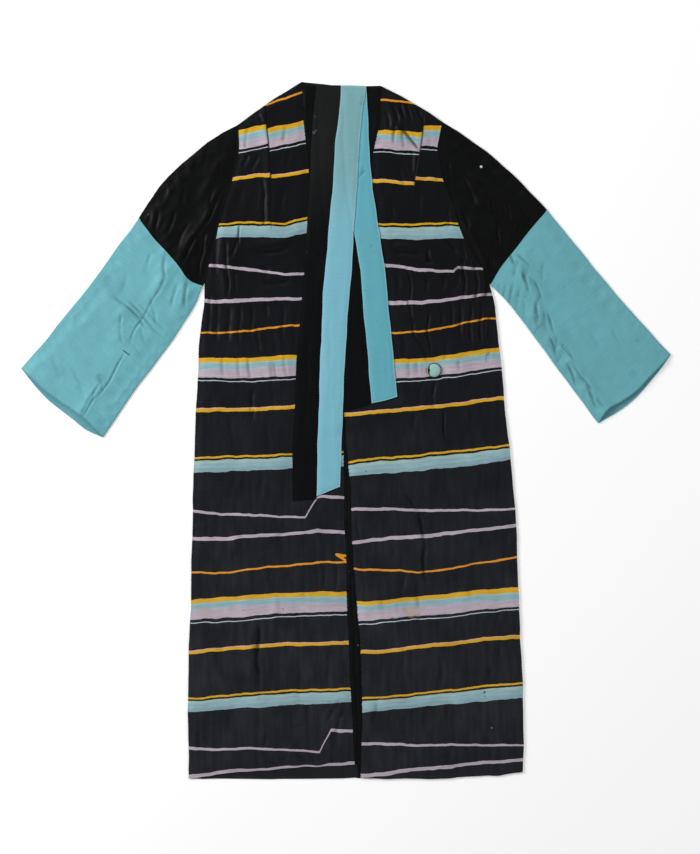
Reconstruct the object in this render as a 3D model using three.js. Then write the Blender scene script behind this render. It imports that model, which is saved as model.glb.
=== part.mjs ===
// A full-length kimono robe with set-in sleeves and a long scarf, laid flat with its front up.
// Millimetres, Z up. The neck points to +Y, the hem to -Y, and the back rests on Z = 0.
// Left and right are the sides as they lie: left is -X.
import * as THREE from 'three';

// Cloth
const WALL = 1.2;                      // one layer of silk with its lining
const GAP = 0.3;                       // space between two pieces at a seam or where they lie
const FRONT_TOP = 2 * WALL + GAP;      // upper face of a front that lies on the back

// Overall sizes
const NECK_TOP = 604;                  // top fold of the scarf above the middle of the robe
const BAND_WIDTH = 30;                 // cut width of the black band on each front edge
const BUTTON_RADIUS = 11.8;
const BUTTON_HEIGHT = 5;
const BUTTON_X = 156;
const BUTTON_Y = 106;

// Colours
const BLACK_STRIPED = 0x1d1e22;
const BLACK_SATIN = 0x141517;
const TURQUOISE = 0x6db0ba;
const SCARF_TURQUOISE = 0x78b4c2;
const MINT = 0x9cc5be;

function table(names, rows) {
  const keys = names.split(' ');
  return rows.map((row) => Object.fromEntries(keys.map((key, i) => [key, row[i]])));
}

// Cut outlines. Each row is one section across a front, from its armhole or side seam
// (outer) to its front edge (inner). The first nine rows run down the armhole.
const FRONT_COLUMNS = 'outerX outerY innerX innerY bow';
const frontLeft = table(FRONT_COLUMNS, [
  [-189, 536, -77, 611, 2],
  [-188, 509, -76, 576, 2],
  [-190, 481, -74, 541, 1],
  [-200, 439, -68, 488, 0],
  [-214, 397, -65, 436, 0],
  [-225, 356, -63, 383, 0],
  [-233, 315, -58, 329, 0],
  [-242, 285, -53, 291, 0],
  [-247, 259, -49, 259, 0],
  [-249, 220, -40, 210, 0],
  [-256, 159, -29, 159, 0],
  [-259, 107, -18, 107, 0],
  [-262, 37, -8, 30, 0],
  [-266, -51, -4, -45, 0],
  [-268, -138, -3, -130, 0],
  [-270, -226, 0, -215, 0],
  [-272, -313, 2, -300, 0],
  [-276, -418, 6, -405, 0],
  [-276, -523, 11, -505, 0],
  [-275, -609, 16, -585, 4],
]);
const frontRight = table(FRONT_COLUMNS, [
  [169, 541, 61, 604, 2],
  [163, 513, 60, 569, 2],
  [161, 485, 58, 535, 1],
  [170, 443, 47, 484, 0],
  [184, 401, 38, 432, 0],
  [198, 359, 30, 381, 0],
  [218, 317, 22, 329, 0],
  [238, 289, 16, 291, 0],
  [249, 263, 12, 261, 0],
  [260, 220, 6, 210, 0],
  [267, 159, 1, 159, 0],
  [274, 89, -4, 89, 0],
  [279, 30, -4, 30, 0],
  [288, -51, 4, -54, 0],
  [296, -138, 9, -135, 0],
  [300, -226, 12, -228, 0],
  [303, -313, 20, -309, 0],
  [308, -418, 27, -417, 0],
  [311, -523, 28, -522, 0],
  [309, -598, 25, -608, -6],
]);
const ARMHOLE_ROWS = 8;                // spaces between the rows that run down an armhole
const BACK_HEM_BOW = -6;               // how far the back hem sags below a straight line
const BACK_NECK_BOW = -5;

// Line where the two front bands meet, from the neck to the hem.
const bandMeeting = table('y x', [
  [611, -16],
  [200, -16],
  [159, -14.5],
  [89, -10],
  [30, -6],
  [-50, 0],
  [-138, 3],
  [-226, 6],
  [-309, 11],
  [-417, 17],
  [-522, 20],
  [-611, 21],
]);

// Sleeve sections. Each row is one place round the flat sleeve, from its outer fold to its
// inner seam: the joint of black and turquoise, then the cuff of the upper and under layer.
const SLEEVE_TABLE = 'jointX jointY cuffX cuffY underX underY';
const sleeveLeft = table(SLEEVE_TABLE, [
  [-363, 373, -568, 110, -568, 110],
  [-346, 351, -545, 89, -549, 86],
  [-328, 330, -521, 67, -527, 60],
  [-309, 309, -495, 48, -504, 41],
  [-291, 288, -470, 31, -480, 21],
  [-275, 265, -446, 10, -454, 1],
  [-250, 254, -426, -12, -426, -12],
]);
const sleeveRight = table(SLEEVE_TABLE, [
  [352, 387, 568, 133, 568, 133],
  [333, 367, 548, 112, 551, 109],
  [316, 346, 528, 91, 533, 87],
  [300, 324, 507, 70, 514, 66],
  [283, 302, 484, 53, 494, 46],
  [266, 281, 458, 39, 468, 29],
  [252, 257, 442, 14, 442, 14],
]);
// How far the outer fold and the inner seam of each sleeve stretch bow off a straight line.
const bows = {
  upper_left: { fold: [-12, 13], seam: [0, 0] },
  upper_right: { fold: [6, 7], seam: [0, 0] },
  lower_left: { fold: [4, -3], seam: [7, -5] },
  lower_right: { fold: [-3, -2], seam: [4, 3] },
};

// The scarf is a black and a turquoise strip sewn side by side and folded in half at the
// neck. Its left end lies on its right end. Each row is a section: the black strip's left
// edge, the seam, and the turquoise strip's right edge.
const scarfOver = table('y left seam right', [
  [604, -52, -8.5, 35.5],
  [558, -57, -12, 27],
  [508, -60, -18, 24],
  [422, -65, -24, 18],
  [354, -68, -30, 14],
  [256, -74, -39, 8],
  [180, -82, -43, 1],
  [93, -88, -46, -3],
  [37, -90, -48, -6],
  [-46, -94, -50, -8],
  [-121, -93, -52, -13],
]);
const scarfUnder = table('y left seam right', [
  [604, -52, -8.5, 35.5],
  [527, -48, -4, 39],
  [463, -46, -1, 43],
  [422, -44, 1, 46],
  [364, -33, 12, 56],
  [264, -17, 27, 70],
  [180, -10, 33, 78],
  [133, -5, 38, 82],
  [35, 1, 46, 93],
]);
// Heights of each strip's two corners at its over end and its under end.
const scarfTips = {
  black: { overLeft: -121, overRight: -120, underLeft: 35, underRight: 48 },
  turquoise: { overLeft: -114, overRight: -97, underLeft: 48, underRight: 60 },
};

// Largest folds of the upper layer. Each is a ridge from one end to the other, with the
// height it stands up and the reach of its sides.
const folds = table('x1 y1 x2 y2 rise reach', [
  // left upper sleeve
  [-217, 410, -266, 340, 4.0, 14],
  [-266, 340, -292, 296, 3.4, 12],
  [-262, 478, -263, 450, 2.6, 10],
  [-234, 490, -240, 452, 2.2, 10],
  [-287, 426, -288, 396, 2.6, 10],
  [-301, 386, -311, 343, 3.0, 10],
  [-329, 390, -336, 352, 2.8, 10],
  // left lower sleeve
  [-315, 316, -318, 268, 3.6, 10],
  [-318, 268, -336, 238, 3.6, 10],
  [-282, 282, -283, 208, 3.4, 10],
  [-413, 234, -317, 163, 3.4, 13],
  [-394, 203, -390, 150, 3.0, 11],
  [-430, 84, -462, 32, 3.0, 10],
  // right upper sleeve
  [226, 441, 250, 404, 3.4, 12],
  [250, 404, 271, 320, 3.4, 12],
  [196, 385, 219, 357, 3.2, 11],
  [219, 357, 252, 290, 3.2, 11],
  [299, 399, 311, 368, 3.0, 11],
  // right lower sleeve
  [322, 290, 308, 256, 3.6, 11],
  [340, 238, 327, 198, 3.8, 11],
  [327, 198, 340, 177, 3.2, 10],
  [373, 168, 362, 142, 3.0, 10],
  [395, 116, 455, 38, 3.4, 10],
  // left front
  [-209, 334, -208, 236, 3.0, 9],
  [-186, 340, -203, 303, 2.6, 9],
  [-171, 325, -84, 336, 2.4, 12],
  [-186, 229, -186, 142, 2.2, 10],
  [-110, 229, -108, 142, 2.0, 10],
  [-143, 570, -132, 474, 2.0, 9],
  [-132, 474, -131, 343, 2.0, 9],
  [-154, -331, -152, -471, 1.8, 15],
  [-70, -120, -66, -420, 1.4, 18],
  // right front
  [206, 300, 208, 165, 3.0, 9],
  [232, 262, 238, 150, 3.0, 9],
  [105, 282, 115, 187, 3.0, 11],
  [115, 187, 140, 132, 2.6, 11],
  [171, 28, 172, -16, 2.2, 10],
  [80, 570, 84, 527, 2.0, 10],
  [88, 527, 128, 490, 2.2, 9],
  [135, 545, 120, 430, 2.0, 9],
  [150, -90, 158, -420, 1.4, 20],
  [60, -330, 64, -520, 1.6, 16],
]);
const HIGHEST_FOLD = 5;

function clamp(value, low, high) {
  return Math.min(high, Math.max(low, value));
}

function mix(a, b, share) {
  return a + (b - a) * share;
}

function ease(value) {
  const t = clamp(value, 0, 1);
  return t * t * (3 - 2 * t);
}

// Reads one column of a table at a fractional row, on a smooth curve through its rows.
function read(rows, column, place) {
  const last = rows.length - 1;
  const row = clamp(Math.floor(place), 0, last - 1);
  const f = place - row;
  const value = (i) => rows[clamp(i, 0, last)][column];
  const [a, b, c, d] = [value(row - 1), value(row), value(row + 1), value(row + 2)];
  return b + 0.5 * f * (c - a + f * (2 * a - 5 * b + 4 * c - d + f * (3 * (b - c) + d - a)));
}

// Reads a table whose first column y falls from row to row, at a height y.
function readAt(rows, column, y) {
  const last = rows.length - 1;
  let row = 0;
  while (row < last - 1 && rows[row + 1].y > y) row += 1;
  const share = clamp((rows[row].y - y) / (rows[row].y - rows[row + 1].y), 0, 1);
  return mix(rows[row][column], rows[row + 1][column], share);
}

// Height that the folds add to the upper layer at a point.
function relief(x, y) {
  let height = 0;
  for (const fold of folds) {
    const dx = fold.x2 - fold.x1;
    const dy = fold.y2 - fold.y1;
    const share = ((x - fold.x1) * dx + (y - fold.y1) * dy) / (dx * dx + dy * dy);
    const near = clamp(share, 0, 1);
    const away = Math.hypot(x - fold.x1 - near * dx, y - fold.y1 - near * dy);
    height += fold.rise * Math.exp(-((away / fold.reach) ** 2));
  }
  return Math.min(height, HIGHEST_FOLD);
}

// Side seams below the armpits, as tables by height.
const sideLeft = frontLeft.slice(ARMHOLE_ROWS).map((row) => ({ y: row.outerY, x: row.outerX }));
const sideRight = frontRight.slice(ARMHOLE_ROWS).map((row) => ({ y: row.outerY, x: row.outerX }));
const SEAM_REACH = 16;                 // folds die out this far from a closed edge
const SCARF_REACH = 18;                // and this far from the scarf, which presses them flat
const CHORD_MARGIN = 26;               // flat border round the scarf, wider than one mesh cell

// How far a point lies outside a scarf end, or zero under it.
function besideScarf(rows, x, y) {
  const beside = Math.max(readAt(rows, 'left', y) - x, x - readAt(rows, 'right', y));
  return Math.max(beside, rows.at(-1).y - y, 0);
}

// Upper face of the fronts and their bands. What lies on them is moved out from it, and
// they lie flat under the scarf.
function bodyTop(x, y) {
  const armpit = frontLeft[ARMHOLE_ROWS].outerY;
  const inside = Math.min(x - readAt(sideLeft, 'x', y), readAt(sideRight, 'x', y) - x);
  const above = ease((y - armpit) / SEAM_REACH);
  const side = Math.max(above, ease(inside / SEAM_REACH));
  const beside = Math.min(besideScarf(scarfOver, x, y), besideScarf(scarfUnder, x, y));
  const pressed = ease((beside - CHORD_MARGIN) / SCARF_REACH);
  return FRONT_TOP + relief(x, y) * side * pressed;
}

// Joins equal loops of points into one closed body. Ends are capped where the loops are
// flat strips, or the last loop meets the first where the loops go round a tube's wall.
function loft(loops, meets) {
  const size = loops[0].length;
  const points = loops.flat();
  const faces = [];
  const turns = meets ? loops.length : loops.length - 1;
  for (let l = 0; l < turns; l += 1) {
    const here = l * size;
    const next = ((l + 1) % loops.length) * size;
    for (let n = 0; n < size; n += 1) {
      const m = (n + 1) % size;
      faces.push([here + n, here + m, next + m], [here + n, next + m, next + n]);
    }
  }
  if (!meets) {
    const end = (loops.length - 1) * size;
    for (let n = 0; n < size / 2 - 1; n += 1) {
      const other = size - 1 - n;
      faces.push([n + 1, n, other], [n + 1, other, other - 1]);
      faces.push([end + n, end + n + 1, end + other], [end + n + 1, end + other - 1, end + other]);
    }
  }
  return solid(points, faces);
}

// Makes the geometry, with its faces turned outwards.
function solid(points, faces) {
  const vectors = points.map((point) => new THREE.Vector3(...point));
  const six = faces.reduce((sum, [a, b, c]) => {
    const normal = new THREE.Vector3().crossVectors(vectors[b], vectors[c]);
    return sum + vectors[a].dot(normal);
  }, 0);
  const outward = six > 0 ? faces : faces.map(([a, b, c]) => [a, c, b]);
  const geometry = new THREE.BufferGeometry();
  geometry.setFromPoints(vectors);
  geometry.setIndex(outward.flat());
  geometry.computeVertexNormals();
  return geometry;
}

function piece(name, geometry, color, roughness) {
  const material = new THREE.MeshStandardMaterial({ color, roughness, metalness: 0 });
  const mesh = new THREE.Mesh(geometry, material);
  mesh.name = name;
  return mesh;
}

// A flat panel: each section is a row of points across, with an upper and an under face.
function panel(sections, columns, across, top) {
  const loops = sections.map((place) => {
    const row = [];
    for (let i = 0; i <= columns; i += 1) row.push(across(place, i / columns));
    const upper = row.map(([x, y]) => [x, y, top(x, y)]);
    const under = row.map(([x, y]) => [x, y, top(x, y) - WALL]);
    return [...upper, ...under.reverse()];
  });
  return loft(loops, false);
}

// Places half a row apart, from the shoulder to the hem.
const HALF = 0.5;
const sections = Array.from({ length: 2 * (frontLeft.length - 1) + 1 }, (_, k) => k * HALF);

// Fronts
const FRONT_CELLS = 10;
function frontPoint(rows, side) {
  return (place, u) => {
    const outerX = read(rows, 'outerX', place) - side * GAP / 2;
    const outerY = read(rows, 'outerY', place);
    const x = mix(outerX, read(rows, 'innerX', place), u);
    const y = mix(outerY, read(rows, 'innerY', place), u);
    return [x, y + 4 * u * (1 - u) * read(rows, 'bow', place)];
  };
}

// Front bands: narrow black strips along the front edges, from the neck to the hem.
const BAND_CELLS = 2;
const NECK_ROWS = 3;                   // the band's top edge levels out over these rows
const bandTopDrop = { left: 7, right: 1 };
function bandPoint(rows, side, drop) {
  return (place, u) => {
    const outerX = read(rows, 'innerX', place) - side * GAP;
    const y = read(rows, 'innerY', place) - u * drop * (1 - ease(place / NECK_ROWS));
    const meeting = readAt(bandMeeting, 'x', y) + side * GAP / 2;
    const width = Math.min(BAND_WIDTH, Math.abs(outerX - meeting));
    return [outerX - side * width * u, y];
  };
}

// Back: one panel from shoulder to hem behind both fronts.
const BACK_CELLS = 6;
function backPoint(place, u) {
  const left = [read(frontLeft, 'outerX', place) + GAP / 2, read(frontLeft, 'outerY', place)];
  const right = [read(frontRight, 'outerX', place) - GAP / 2, read(frontRight, 'outerY', place)];
  const raised = 1 - ease(place / ARMHOLE_ROWS);
  const third = Math.min(2, Math.floor(u * 3));
  const share = u * 3 - third;
  const level = (x) => mix(left[1], right[1], (x - left[0]) / (right[0] - left[0]));
  const neck = [frontLeft, frontRight].map((rows) => {
    const x = read(rows, 'innerX', place);
    return [x, mix(level(x), read(rows, 'innerY', place), raised)];
  });
  const corners = [left, neck[0], neck[1], right];
  const [from, to] = [corners[third], corners[third + 1]];
  const inNeck = third === 1 ? 4 * share * (1 - share) * raised * BACK_NECK_BOW : 0;
  const hem = ease(place - frontLeft.length + 2) * 4 * u * (1 - u) * BACK_HEM_BOW;
  return [mix(from[0], to[0], share), mix(from[1], to[1], share) + inNeck + hem];
}

// Sleeves: flat tubes with a folded outer edge and a seam on the inner edge.
const SLEEVE_CELLS = 2 * ARMHOLE_ROWS;
const SLEEVE_UNDER_CELLS = 2 * ARMHOLE_ROWS;
const EDGE = 1.6;                      // reach of the rounding at a folded edge
const EDGE_FADE = 22;                  // folds die out this far from a folded edge
const ARMHOLE_GAP = 0.25;
const UPPER_RINGS = 8;
const LOWER_RINGS = 12;
const SEAM_BOW_PEAK = 9.5;             // brings the greatest seam bow, near the armpit, to 1

function sleeveRing(upper, under, inset) {
  const [x0, y0] = upper(0);
  const [x1, y1] = upper(1);
  const width = Math.hypot(x1 - x0, y1 - y0);
  const edge = (EDGE + inset) / width;
  const ring = [];
  const closeEdge = (u) => {
    const [ax, ay] = upper(u);
    const [bx, by] = under(u);
    ring.push([(ax + bx) / 2, (ay + by) / 2, FRONT_TOP / 2]);
  };
  for (let i = 0; i <= SLEEVE_UNDER_CELLS; i += 1) {
    const [x, y] = under(clamp(i / SLEEVE_UNDER_CELLS, edge, 1 - edge));
    ring.push([x, y, inset]);
  }
  closeEdge(1 - inset / width);
  for (let i = SLEEVE_CELLS; i >= 0; i -= 1) {
    const u = clamp(i / SLEEVE_CELLS, edge, 1 - edge);
    const [x, y] = upper(u);
    const fade = ease(Math.min(u, 1 - u) * width / EDGE_FADE);
    ring.push([x, y, FRONT_TOP + relief(x, y) * fade - inset]);
  }
  closeEdge(inset / width);
  return ring;
}

// Rings run from start to end. The fold bows most half way, the seam near the armpit.
function sleeveTube(start, end, underEnd, bow, rings) {
  const outside = [];
  const inside = [];
  for (let k = 0; k <= rings; k += 1) {
    const s = k / rings;
    const atFold = 4 * s * (1 - s);
    const atSeam = SEAM_BOW_PEAK * s * (1 - s) ** 3;
    const place = (target) => (u) => {
      const a = start(u);
      const b = target(u);
      return [0, 1].map((axis) => mix(a[axis], b[axis], s)
        + bow.fold[axis] * atFold * (1 - u) ** 2
        + bow.seam[axis] * atSeam * u ** 2);
    };
    outside.push(sleeveRing(place(end), place(underEnd), 0));
    inside.push(sleeveRing(place(end), place(underEnd), WALL));
  }
  return loft([...outside, ...inside.reverse()], true);
}

// Curves across a sleeve, moved along the arm by a small share of the seam gap.
function across(rows, columns, lastPlace, side, shift) {
  return (u) => [
    read(rows, columns[0], u * lastPlace) + side * shift,
    read(rows, columns[1], u * lastPlace) - shift,
  ];
}

function sleevePair(front, rows, side, label) {
  const last = rows.length - 1;
  const armhole = across(front, ['outerX', 'outerY'], ARMHOLE_ROWS, side, ARMHOLE_GAP);
  const jointUpper = across(rows, ['jointX', 'jointY'], last, side, -GAP / 2);
  const jointLower = across(rows, ['jointX', 'jointY'], last, side, GAP / 2);
  const cuff = across(rows, ['cuffX', 'cuffY'], last, side, 0);
  const underCuff = across(rows, ['underX', 'underY'], last, side, 0);
  const upper = sleeveTube(armhole, jointUpper, jointUpper, bows[`upper_${label}`], UPPER_RINGS);
  const lower = sleeveTube(jointLower, cuff, underCuff, bows[`lower_${label}`], LOWER_RINGS);
  return [
    piece(`sleeve_upper_${label}`, upper, BLACK_SATIN, 0.45),
    piece(`sleeve_lower_${label}`, lower, TURQUOISE, 0.5),
  ];
}

// Scarf strips
const STRIP_CELLS = 2;
const OVER_SECTIONS = 30;
const UNDER_SECTIONS = 24;
const FOLD_STEPS = 4;
const STACK_MARGIN = 20;               // the over end stays raised this far beside the under end
const STACK_REACH = 14;                // and comes down over this width
const FOLD_OUTER = (2 * WALL + GAP) / 2;
const FOLD_INNER = GAP / 2;

// How far a point is over the scarf's under end, from 0 beside it to 1 on it.
function stacked(x, y) {
  return 1 - ease((besideScarf(scarfUnder, x, y) - STACK_MARGIN) / STACK_REACH);
}

function scarfStrip(leftEdge, rightEdge, tips, leftGap, rightGap) {
  const foldY = NECK_TOP - FOLD_OUTER;
  const under = FRONT_TOP + GAP;
  const foldZ = under + FOLD_OUTER;
  const spread = (rows, leftY, rightY) => {
    const row = [];
    const left = readAt(rows, leftEdge, leftY) + leftGap;
    const right = readAt(rows, rightEdge, rightY) - rightGap;
    for (let i = 0; i <= STRIP_CELLS; i += 1) {
      const u = i / STRIP_CELLS;
      row.push([mix(left, right, u), mix(leftY, rightY, u)]);
    }
    return row;
  };
  const loops = [];
  const add = (face, back) => loops.push([...face, ...back.reverse()]);
  for (let k = 0; k <= OVER_SECTIONS; k += 1) {
    const s = k / OVER_SECTIONS;
    const row = spread(scarfOver, mix(tips.overLeft, foldY, s), mix(tips.overRight, foldY, s));
    const level = (x, y) => bodyTop(x, y) + GAP + stacked(x, y) * (WALL + GAP);
    add(row.map(([x, y]) => [x, y, level(x, y) + WALL]), row.map(([x, y]) => [x, y, level(x, y)]));
  }
  for (let k = 1; k < FOLD_STEPS; k += 1) {
    const angle = Math.PI / 2 - Math.PI * k / FOLD_STEPS;
    const row = spread(scarfOver, foldY, foldY);
    const at = (radius) => row.map(([x]) => [
      x, foldY + radius * Math.cos(angle), foldZ + radius * Math.sin(angle),
    ]);
    add(at(FOLD_OUTER), at(FOLD_INNER));
  }
  for (let k = 0; k <= UNDER_SECTIONS; k += 1) {
    const s = k / UNDER_SECTIONS;
    const row = spread(scarfUnder, mix(foldY, tips.underLeft, s), mix(foldY, tips.underRight, s));
    const level = (x, y) => bodyTop(x, y) + GAP;
    add(row.map(([x, y]) => [x, y, level(x, y)]), row.map(([x, y]) => [x, y, level(x, y) + WALL]));
  }
  return loft(loops, false);
}

// Covered button on the right front, seated on the highest cloth under its rim.
function button() {
  const profile = table('r z', [
    [0, 0],
    [0.9, 0],
    [1, 0.25],
    [0.95, 0.6],
    [0.72, 0.86],
    [0.38, 0.97],
    [0, 1],
  ]).map(({ r, z }) => new THREE.Vector2(r * BUTTON_RADIUS, z * BUTTON_HEIGHT));
  const turned = new THREE.LatheGeometry(profile, 28);
  turned.rotateX(Math.PI / 2);
  const rim = Array.from({ length: 12 }, (_, k) => k * Math.PI / 6).map((angle) => bodyTop(
    BUTTON_X + BUTTON_RADIUS * Math.cos(angle),
    BUTTON_Y + BUTTON_RADIUS * Math.sin(angle),
  ));
  const mesh = piece('button', turned, MINT, 0.7);
  mesh.position.set(BUTTON_X, BUTTON_Y, Math.max(...rim) + GAP);
  return mesh;
}

const robe = new THREE.Group();
const leftFront = panel(sections, FRONT_CELLS, frontPoint(frontLeft, -1), bodyTop);
const rightFront = panel(sections, FRONT_CELLS, frontPoint(frontRight, 1), bodyTop);
const leftBand = panel(sections, BAND_CELLS, bandPoint(frontLeft, -1, bandTopDrop.left), bodyTop);
const rightBand = panel(sections, BAND_CELLS, bandPoint(frontRight, 1, bandTopDrop.right), bodyTop);
const blackStrip = scarfStrip('left', 'seam', scarfTips.black, 0, GAP / 2);
const turquoiseStrip = scarfStrip('seam', 'right', scarfTips.turquoise, GAP / 2, 0);
robe.add(
  piece('back', panel(sections, BACK_CELLS, backPoint, () => WALL), BLACK_STRIPED, 0.6),
  piece('front_left', leftFront, BLACK_STRIPED, 0.6),
  piece('front_right', rightFront, BLACK_STRIPED, 0.6),
  piece('band_left', leftBand, BLACK_SATIN, 0.55),
  piece('band_right', rightBand, BLACK_SATIN, 0.55),
  ...sleevePair(frontLeft, sleeveLeft, -1, 'left'),
  ...sleevePair(frontRight, sleeveRight, 1, 'right'),
  piece('scarf_black', blackStrip, BLACK_SATIN, 0.5),
  piece('scarf_turquoise', turquoiseStrip, SCARF_TURQUOISE, 0.5),
  button(),
);

export default robe;
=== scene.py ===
import math

import bmesh
import bpy
import numpy as np
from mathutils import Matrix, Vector
from mathutils.bvhtree import BVHTree
from mathutils.kdtree import KDTree


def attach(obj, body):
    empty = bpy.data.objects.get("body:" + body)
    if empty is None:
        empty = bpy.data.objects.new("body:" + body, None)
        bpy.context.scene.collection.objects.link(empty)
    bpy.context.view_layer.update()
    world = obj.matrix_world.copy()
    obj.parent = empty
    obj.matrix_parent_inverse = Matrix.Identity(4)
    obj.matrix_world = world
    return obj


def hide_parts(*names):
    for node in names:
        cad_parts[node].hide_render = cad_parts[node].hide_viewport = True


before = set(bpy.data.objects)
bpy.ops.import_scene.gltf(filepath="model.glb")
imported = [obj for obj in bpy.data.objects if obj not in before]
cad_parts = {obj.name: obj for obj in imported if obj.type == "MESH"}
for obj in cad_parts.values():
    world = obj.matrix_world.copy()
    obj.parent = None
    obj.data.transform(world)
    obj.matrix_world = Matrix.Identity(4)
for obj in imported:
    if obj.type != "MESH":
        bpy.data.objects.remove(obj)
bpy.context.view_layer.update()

# Camera
# The robe lies on the floor and is seen from straight above through a long lens, so that
# the picture is 1494.5 mm of floor from top to bottom.
MM = 0.001
PIXEL = 1.75  # millimetres of the robe in one photo pixel
MIDDLE_X, MIDDLE_Y = 346, 431  # photo pixel above the robe's origin
PHOTO_WIDTH, PHOTO_HEIGHT = 700, 854
LENS, SENSOR = 85.0, 36.0


def from_photo(x, y):
    """Millimetres on the robe at a pixel of the photo."""
    return (x - MIDDLE_X) * PIXEL, (MIDDLE_Y - y) * PIXEL


camera_data = bpy.data.cameras.new("camera")
camera_data.lens = LENS
camera_data.sensor_width = SENSOR
camera = bpy.data.objects.new("camera", camera_data)
bpy.context.scene.collection.objects.link(camera)
bpy.context.scene.camera = camera
view_x, view_y = from_photo(PHOTO_WIDTH / 2, PHOTO_HEIGHT / 2)
view_height = PHOTO_HEIGHT * PIXEL * LENS / SENSOR
camera.location = Vector((view_x, view_y, view_height)) * MM

# Floor and light
# Matt white paper, lit by four soft lights, the strongest low on the left, and by a dim even
# sky, so that folds show by soft highlights. A faint glow keeps the paper almost white.
FLOOR_WHITE, FLOOR_GLOW = 0.93, 0.24
FLOOR_HALF = 4.0  # metres from the middle to each side
FLOOR_DROP = 0.3  # millimetres from the robe's underside down to it
SKY = 0.12


def linear(colour):
    """Linear red, green, blue and alpha of an sRGB hex colour."""
    parts = [int(colour[i:i + 2], 16) / 255 for i in (1, 3, 5)]
    return [c / 12.92 if c <= 0.04045 else ((c + 0.055) / 1.055) ** 2.4 for c in parts] + [1.0]


def add(tree, kind, links=None, **settings):
    """Adds a node with its settings, and gives each input a value or a link."""
    node = tree.nodes.new(kind)
    for key, value in settings.items():
        setattr(node, key, value)
    for key, value in (links or {}).items():
        if isinstance(value, bpy.types.NodeSocket):
            tree.links.new(value, node.inputs[key])
        else:
            node.inputs[key].default_value = value
    return node


floor_form = bmesh.new()
bmesh.ops.create_grid(floor_form, x_segments=2, y_segments=2, size=FLOOR_HALF)
bmesh.ops.translate(floor_form, verts=floor_form.verts, vec=(0, 0, -FLOOR_DROP * MM))
floor_mesh = bpy.data.meshes.new("floor")
floor_form.to_mesh(floor_mesh)
floor_form.free()
floor = bpy.data.objects.new("floor", floor_mesh)
bpy.context.scene.collection.objects.link(floor)
# White paper, uncoated: it shows soft shadows and no gloss.
paper = bpy.data.materials.new("white_paper")
paper.use_nodes = True
paper_skin = paper.node_tree.nodes["Principled BSDF"]
paper_skin.inputs["Base Color"].default_value = (FLOOR_WHITE, FLOOR_WHITE, FLOOR_WHITE, 1)
paper_skin.inputs["Roughness"].default_value = 0.9
paper_skin.inputs["Specular IOR Level"].default_value = 0.1
paper_skin.inputs["Emission Color"].default_value = (1, 1, 1, 1)
paper_skin.inputs["Emission Strength"].default_value = FLOOR_GLOW
floor_mesh.materials.append(paper)

world = bpy.data.worlds.new("sky")
world.use_nodes = True
world.node_tree.nodes["Background"].inputs["Color"].default_value = (1, 1, 1, 1)
world.node_tree.nodes["Background"].inputs["Strength"].default_value = SKY
bpy.context.scene.world = world
bpy.context.scene.view_settings.view_transform = "Standard"

# Each light: where it stands, its size across, and its power in watts.
for label, place, across, power in (
    ("softbox_left", (-2.7, 0.9, 1.6), 1.2, 88),
    ("softbox_right", (2.6, 0.2, 2.2), 1.6, 22),
    ("softbox_foot", (0.2, -3.0, 2.4), 1.6, 24),
    ("softbox_head", (0.1, 2.9, 2.0), 1.6, 30),
):
    light_data = bpy.data.lights.new(label, "AREA")
    light_data.size = across
    light_data.energy = power
    light = bpy.data.objects.new(label, light_data)
    bpy.context.scene.collection.objects.link(light)
    light.location = place
    light.visible_camera = False
    light.rotation_mode = "QUATERNION"
    light.rotation_quaternion = (-Vector(place)).to_track_quat("-Z", "Y")

# Back panel
# One width of striped silk from shoulder to hem, lying face down under both fronts. Its
# inside is a plain black facing, which shows below the shorter left front at the hem.
FACE_UP = 0.5  # least slope of a face that is not an edge
FOLD_ANGLE = 50  # degrees past which an edge stays sharp


def cut_cells(form, cells, faces_wanted):
    """Cuts every edge of the wanted faces into a number of equal cells."""
    form.normal_update()
    edges = {edge for face in form.faces if faces_wanted(face) for edge in face.edges}
    bmesh.ops.subdivide_edges(form, edges=list(edges), cuts=cells - 1, use_grid_fill=True)


def cloth_form(node, cells, rounds, above=0.0, under_cells=3):
    """The node's solid as a merged mesh, fine on its upper face and without facets."""
    form = bmesh.new()
    form.from_mesh(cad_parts[node].data)
    bmesh.ops.remove_doubles(form, verts=form.verts, dist=0.02 * MM)
    seen = lambda face: face.normal.z > FACE_UP and face.calc_center_median().z > above * MM
    cut_cells(form, cells, seen)
    cut_cells(form, under_cells, lambda face: face.normal.z < -FACE_UP)
    bmesh.ops.triangulate(form, faces=[face for face in form.faces if len(face.verts) > 4])
    form.normal_update()
    loose = [v for v in form.verts if all(abs(f.normal.z) > FACE_UP for f in v.link_faces)]
    for _ in range(rounds):
        bmesh.ops.smooth_vert(form, verts=loose, factor=0.5, use_axis_z=True)
    return form


def lay(name, form, materials, node=None, fold=FOLD_ANGLE):
    """Makes the finished piece, which rides with the robe and may stand for its solid."""
    for face in form.faces:
        face.smooth = True
    form.normal_update()
    for edge in form.edges:
        edge.smooth = edge.calc_face_angle(0.0) < math.radians(fold)
    mesh = bpy.data.meshes.new(name)
    form.to_mesh(mesh)
    form.free()
    piece = bpy.data.objects.new(name, mesh)
    bpy.context.scene.collection.objects.link(piece)
    for material in materials:
        mesh.materials.append(material)
    if node:
        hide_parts(node)
    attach(piece, "root")
    return piece


def points_of(form):
    """The form's points in millimetres, as three columns."""
    return np.array([v.co for v in form.verts]) / MM


def paint(form, name, values):
    """Keeps one number for each point of the form, for its material."""
    layer = form.verts.layers.float.new(name)
    for vert, value in zip(form.verts, values):
        vert[layer] = value


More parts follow.
